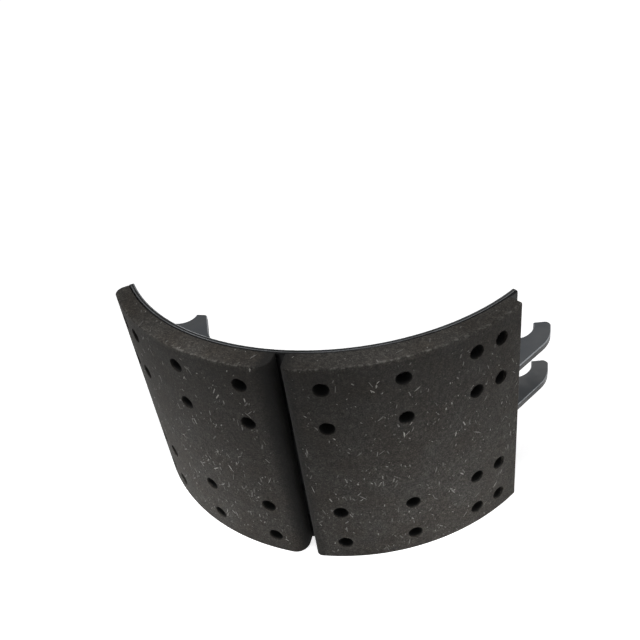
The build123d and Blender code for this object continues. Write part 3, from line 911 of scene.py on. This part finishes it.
def rivet_spots(tree, size):
    """A point for each rivet on the table's outer face, and the direction that it faces."""
    angles = [math.radians(side * angle) for side in (-1, 1) for angle in RIVET_ANGLES]
    total = add(tree, "ShaderNodeMath", {0: size["Rows"], 1: float(len(angles))}, operation="MULTIPLY")
    spots = add(tree, "GeometryNodePoints", {"Count": total})
    number = add(tree, "GeometryNodeInputIndex")
    column = add(tree, "ShaderNodeMath", {0: number, 1: size["Rows"]}, operation="DIVIDE")
    column = add(tree, "ShaderNodeMath", {0: column}, operation="FLOOR")
    row = add(tree, "ShaderNodeMath", {0: number, 1: size["Rows"]}, operation="MODULO")
    angle = chosen(tree, column, angles)
    lower = [add(tree, "ShaderNodeMath", {0: size[name], 1: -1.0}, operation="MULTIPLY")
             for name in ("Inner Row", "Outer Row")]
    height = chosen(tree, row, [size["Outer Row"], size["Inner Row"], *lower])
    sine = add(tree, "ShaderNodeMath", {0: angle}, operation="SINE")
    cosine = add(tree, "ShaderNodeMath", {0: angle}, operation="COSINE")
    south = add(tree, "ShaderNodeMath", {0: cosine, 1: -1.0}, operation="MULTIPLY")
    out = add(tree, "ShaderNodeCombineXYZ", {0: sine, 1: south})
    place = add(tree, "ShaderNodeVectorMath", {0: out, "Scale": size["Arc Radius"]}, operation="SCALE")
    level = add(tree, "ShaderNodeCombineXYZ", {2: height})
    for step in (level, TABLE_CENTRE):
        place = add(tree, "ShaderNodeVectorMath", {0: place, 1: step}, operation="ADD")
    moved = add(tree, "GeometryNodeSetPosition", {"Geometry": spots, "Position": place})
    return moved, out


print(len(RIVET_ANGLES) * 2 * len(RIVET_ROWS), "rivets to set")

# %% Tree that sets the rivets
def rivet_tree():
    """Points in rows and columns round the table, each with a rivet that points out."""
    tree, size = new_tree("set_rivets", ["Arc Radius", "Outer Row", "Inner Row"], ["Rows", "Seed"])
    spots, out = rivet_spots(tree, size)
    facing = add(tree, "FunctionNodeAlignRotationToVector", {"Vector": out}, axis="Z")
    placed = add(tree, "GeometryNodeInstanceOnPoints", {
        "Points": spots, "Instance": size["Geometry"], "Rotation": facing})
    end_tree(tree, spun(tree, placed, 0.0, math.tau, size["Seed"]), size["Material"])
    return tree


set_rivets = rivet_tree()
print("the tree has", len(set_rivets.nodes), "nodes")

# %% Set the rivets
rivets = grow("tubular_rivets", set_rivets, {
    "Arc Radius": TABLE_OUTER, "Rows": len(RIVET_ROWS), "Outer Row": RIVET_ROWS[0],
    "Inner Row": RIVET_ROWS[1], "Seed": 5, "Material": steel}, base=one_rivet)
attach(rivets, "root")
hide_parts("anchor_end_rivets", "cam_end_rivets")

# %% [markdown]
# ## Studio
# The shoe stands on a white floor in soft light. A lamp overhead lights level faces. Two small
# ones point straight down in front, so the floor there throws light back up, and the upright
# lining faces are lit from below and darken towards the top. Lamps at the right and the left
# lift the ends, and one behind picks out the hooks. The floor and the surroundings read as white
# to the camera and in reflections, and the floor keeps the shoe's soft shadow. One big softbox
# would be simpler, but it would light the lining evenly and hide its curve.

# %% Floor
FLOOR_SIZE = 30.0
NEAR_GLOW = 0.78             # beside the shoe, where the lamps make up the rest
GLOW_DISTANCES = (0.5, 1.5)
low, high = solid_box
floor_level = low[2]


def seen_rays(tree):
    """1 for rays from the camera, or ones that are mirrored or pass through glass."""
    rays = add(tree, "ShaderNodeLightPath").outputs
    seen = rays["Is Camera Ray"]
    for kind in ("Is Glossy Ray", "Is Transmission Ray"):
        seen = add(tree, "ShaderNodeMath", {0: seen, 1: rays[kind]}, operation="MAXIMUM")
    return seen


def white_floor():
    """A matt white sheet that reads as white where it is lit, and as far as it goes."""
    material, tree = new_material("white_studio_floor")
    diffuse = add(tree, "ShaderNodeBsdfDiffuse", {"Color": colour("#f2f2f2")})
    place = add(tree, "ShaderNodeTexCoord").outputs["Object"]
    away = add(tree, "ShaderNodeVectorMath", {0: place}, operation="LENGTH")
    level = add(tree, "ShaderNodeMapRange", {
        "Value": away, "From Min": GLOW_DISTANCES[0], "From Max": GLOW_DISTANCES[1],
        "To Min": NEAR_GLOW, "To Max": 1.0})
    glow = add(tree, "ShaderNodeEmission", {"Color": colour("#ffffff"), "Strength": level})
    lit = add(tree, "ShaderNodeAddShader", {0: diffuse, 1: glow})
    seen = add(tree, "ShaderNodeMixShader", {0: seen_rays(tree), 1: diffuse, 2: lit})
    add(tree, "ShaderNodeOutputMaterial", {"Surface": seen})
    return material


bpy.ops.mesh.primitive_plane_add(size=FLOOR_SIZE, location=(0, 0, floor_level))
floor = bpy.context.object
floor.name = "studio_floor"
floor.data.materials.append(white_floor())
print("floor at", round(floor_level, 4))

# %% World
WORLD_FILL = 0.06            # what the surroundings add to the lamps
world = bpy.data.worlds.new("studio")
bpy.context.scene.world = world
world.use_nodes = True
tree = world.node_tree
tree.nodes.clear()
plain = add(tree, "ShaderNodeBackground", {"Color": colour("#ffffff"), "Strength": WORLD_FILL})
white = add(tree, "ShaderNodeBackground", {"Color": colour("#ffffff"), "Strength": 1.0})
choice = add(tree, "ShaderNodeMixShader", {0: seen_rays(tree), 1: plain, 2: white})
add(tree, "ShaderNodeOutputWorld", {"Surface": choice})
print("world strength", WORLD_FILL)

# %% Lamps
FRONT_SPREAD = 50.0          # degrees, so that the front lamps light the floor and not the lining


def lamp(name, place, aim, width, height, watts):
    """A soft lamp that points at a place and isn't seen itself."""
    data = bpy.data.lights.new(name, "AREA")
    data.shape = "RECTANGLE"
    data.size = width
    data.size_y = height
    data.energy = watts
    light = bpy.data.objects.new(name, data)
    light.visible_camera = False
    bpy.context.scene.collection.objects.link(light)
    light.location = place
    light.rotation_euler = (Vector(aim) - Vector(place)).to_track_quat("-Z", "Y").to_euler()
    return light


middle = (Vector(low) + Vector(high)) / 2
lamp("overhead", middle + Vector((0.0, 0.0, 1.2)), middle, 0.6, 0.6, 5.2)
lamp("back", middle + Vector((0.0, 1.4, 0.8)), middle, 0.8, 0.8, 2.4)
lamp("right", middle + Vector((0.9, -0.1, 0.05)), middle, 0.4, 0.3, 1.8)
lamp("left", middle + Vector((-0.9, -0.2, 0.0)), middle, 0.4, 0.3, 0.18)
for side in (-1, 1):
    spot = middle + Vector((0.2 * side, -0.16, 0.3))
    front = lamp("front_down", spot, spot - Vector((0, 0, 1)), 0.25, 0.12, 0.35)
    front.data.spread = math.radians(FRONT_SPREAD)
print("lamps round", [round(value, 3) for value in middle])

# %% [markdown]
# ## Camera
# The camera looks down on the friction faces from the front, a little to the right, and leans
# slightly, as a hand-held one does. It is placed by its aim point, its distance and its angles.

# %% Camera
AIM = Vector((153.66, 14.44, 0.25)) * MM
DISTANCE = 771.75 * MM
AZIMUTH = -17.17             # of the line of sight, from +Y towards +X
ELEVATION = 37.14
ROLL = -8.04
SENSOR = 36.0
FOCAL_IN_WIDTHS = 772.02 / 640
CENTRE_SHIFT = (-15.56 / 640, 11.91 / 640)

azimuth, elevation, roll = (math.radians(angle) for angle in (AZIMUTH, ELEVATION, ROLL))
forward = Vector((math.sin(azimuth) * math.cos(elevation), math.cos(azimuth) * math.cos(elevation),
                  -math.sin(elevation)))
level = Vector((math.cos(azimuth), -math.sin(azimuth), 0))
upright = level.cross(forward)
right = math.cos(roll) * level + math.sin(roll) * upright
up = math.cos(roll) * upright - math.sin(roll) * level
camera_data = bpy.data.cameras.new("camera")
camera_data.sensor_width = SENSOR
camera_data.lens = FOCAL_IN_WIDTHS * SENSOR
camera_data.shift_x, camera_data.shift_y = CENTRE_SHIFT
camera_data.clip_start = 0.01
camera = bpy.data.objects.new("camera", camera_data)
bpy.context.scene.collection.objects.link(camera)
turn = Matrix((right, up, -forward)).transposed().to_4x4()
camera.matrix_world = Matrix.Translation(AIM - forward * DISTANCE) @ turn
bpy.context.scene.camera = camera
bpy.context.scene.view_settings.view_transform = "Standard"
print("camera at", [round(value, 3) for value in camera.location])
